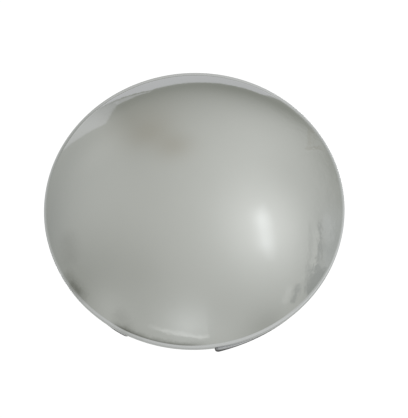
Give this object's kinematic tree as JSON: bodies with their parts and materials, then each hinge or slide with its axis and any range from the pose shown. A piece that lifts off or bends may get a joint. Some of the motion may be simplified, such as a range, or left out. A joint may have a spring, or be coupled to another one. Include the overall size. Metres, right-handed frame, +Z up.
{
  "type": "traffic convex mirror",
  "caption": "Round convex road mirror of polished stainless steel with a rubber-sealed back pan, on a wall bracket whose arm swings and tilts and is clamped in curved slots.",
  "frame": {"origin": "centre of the wall plate's back face, which lies on the wall", "axes": "+Y into the wall, so the mirror faces -Y; +Z up; +X to the right when seen from the front"},
  "size_m": [0.6, 0.3534, 0.6031],
  "materials": {
    "polished_stainless": "mirror-polished, slightly hazy stainless steel",
    "satin_stainless": "satin stainless steel",
    "galvanised_steel": "hot-dip galvanised, dull with a faint spangle",
    "zinc_plate": "bright zinc-plated steel",
    "black_rubber": "matte black rubber",
    "black_plastic": "moulded black plastic with a fine grain",
    "white_nylon": "natural nylon"
  },
  "bodies": {
    "wall_bracket": {"wall_bracket": "galvanised_steel", "swing_pivot_bolt": "zinc_plate", "swing_pivot_nut": "zinc_plate", "swing_pivot_washer_head": "zinc_plate", "swing_pivot_washer_nut": "zinc_plate"},
    "arm": {"arm_tube": "galvanised_steel", "arm_cap_front": "black_plastic", "arm_cap_rear": "black_plastic", "swing_friction_washer_a": "white_nylon", "swing_friction_washer_b": "white_nylon", "tilt_friction_washer_a": "white_nylon", "tilt_friction_washer_b": "white_nylon", "swing_lock_bolt": "zinc_plate", "swing_lock_nut": "zinc_plate", "swing_lock_washer_head": "zinc_plate", "swing_lock_washer_nut": "zinc_plate", "tilt_lock_bolt": "zinc_plate", "tilt_lock_nut": "zinc_plate", "tilt_lock_washer_head": "zinc_plate", "tilt_lock_washer_nut": "zinc_plate"},
    "mirror_head": {"mirror_face": "polished_stainless", "edge_seal": "black_rubber", "back_pan": "satin_stainless", "rim_screw_1": "satin_stainless", "rim_screw_2": "satin_stainless", "rim_screw_3": "satin_stainless", "rim_screw_4": "satin_stainless", "rim_screw_5": "satin_stainless", "rim_screw_6": "satin_stainless", "rim_screw_7": "satin_stainless", "rim_screw_8": "satin_stainless", "rail_left": "galvanised_steel", "rail_right": "galvanised_steel", "rail_rivet_1": "zinc_plate", "rail_rivet_2": "zinc_plate", "rail_rivet_3": "zinc_plate", "rail_rivet_4": "zinc_plate", "rail_rivet_5": "zinc_plate", "rail_rivet_6": "zinc_plate", "rail_rivet_7": "zinc_plate", "rail_rivet_8": "zinc_plate", "head_bracket": "galvanised_steel", "bracket_bolt_1": "zinc_plate", "bracket_bolt_2": "zinc_plate", "bracket_bolt_3": "zinc_plate", "bracket_bolt_4": "zinc_plate", "bracket_nut_1": "zinc_plate", "bracket_nut_2": "zinc_plate", "bracket_nut_3": "zinc_plate", "bracket_nut_4": "zinc_plate", "tilt_pivot_bolt": "zinc_plate", "tilt_pivot_nut": "zinc_plate", "tilt_pivot_washer_head": "zinc_plate", "tilt_pivot_washer_nut": "zinc_plate"}
  },
  "joints": [
    {"name": "swing", "type": "hinge", "parent": "wall_bracket", "child": "arm", "pos_m": [0, -0.05, 0], "axis": [0, 0, 1], "range_deg": [-30, 30]},
    {"name": "tilt", "type": "hinge", "parent": "arm", "child": "mirror_head", "pos_m": [0, -0.142, 0], "axis": [1, 0, 0], "range_deg": [-25, 25]}
  ]
}
